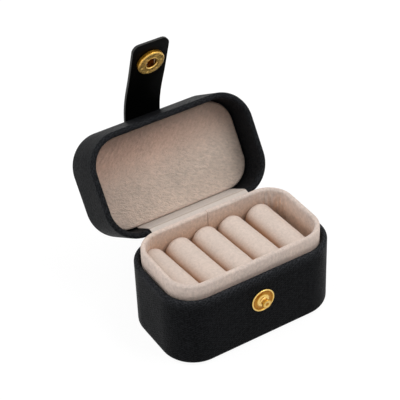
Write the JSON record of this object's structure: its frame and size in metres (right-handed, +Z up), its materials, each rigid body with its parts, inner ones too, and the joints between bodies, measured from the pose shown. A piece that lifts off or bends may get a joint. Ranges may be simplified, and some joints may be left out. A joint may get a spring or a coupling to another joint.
{
  "type": "ring display box",
  "caption": "Small hinged ring box with a raised suede collar, soft ring rolls, a padded lid and a leather snap strap that closes over the front.",
  "frame": {"origin": "centre of the flat underside of the base, on the table", "axes": "+X to the right seen from the front, along the long side; +Y to the hinge at the back; +Z up"},
  "size_m": [0.095, 0.1177, 0.1243],
  "materials": {
    "leather": "cross-grain, satin",
    "suede": "brushed microsuede",
    "roll_suede": "brushed microsuede, lighter",
    "foam": "open-cell foam",
    "board": "grey board",
    "moulding": "moulded, matt",
    "base_felt": "flocked panel",
    "gold_snap": "polished gold plate",
    "spring_wire": "drawn wire"
  },
  "bodies": {
    "base": {"base_shell": "moulding", "base_wrap": "leather", "bottom_panel": "base_felt", "collar_frame": "board", "collar_lining": "suede", "bed_foam": "foam", "bed_lining": "suede", "ring_roll_1": "roll_suede", "ring_roll_2": "roll_suede", "ring_roll_3": "roll_suede", "ring_roll_4": "roll_suede", "ring_roll_5": "roll_suede", "ring_roll_core_1": "foam", "ring_roll_core_2": "foam", "ring_roll_core_3": "foam", "ring_roll_core_4": "foam", "ring_roll_core_5": "foam", "snap_stud": "gold_snap", "stud_rivet": "gold_snap", "hinge_spine": "leather", "hinge_strip": "suede"},
    "lid": {"lid_shell": "moulding", "lid_wrap": "leather", "pad_board": "board", "pad_foam": "foam", "pad_lining": "suede", "strap_anchor": "leather", "strap_bend": "leather"},
    "strap": {"strap_face": "leather", "strap_lining": "leather", "snap_cap": "gold_snap", "snap_socket": "gold_snap", "socket_spring": "spring_wire"}
  },
  "joints": [
    {"name": "lid_hinge", "type": "hinge", "parent": "base", "child": "lid", "pos_m": [0, 0.02894, 0.0392], "axis": [1, 0, 0], "range_deg": [0, 122.2], "deforming": ["hinge_spine", "hinge_strip"]},
    {"name": "strap_fold", "type": "hinge", "parent": "lid", "child": "strap", "pos_m": [0, 0.08114, 0.07067], "axis": [1, 0, 0], "range_deg": [-32, 37], "deforming": ["strap_bend", "socket_spring"]}
  ]
}
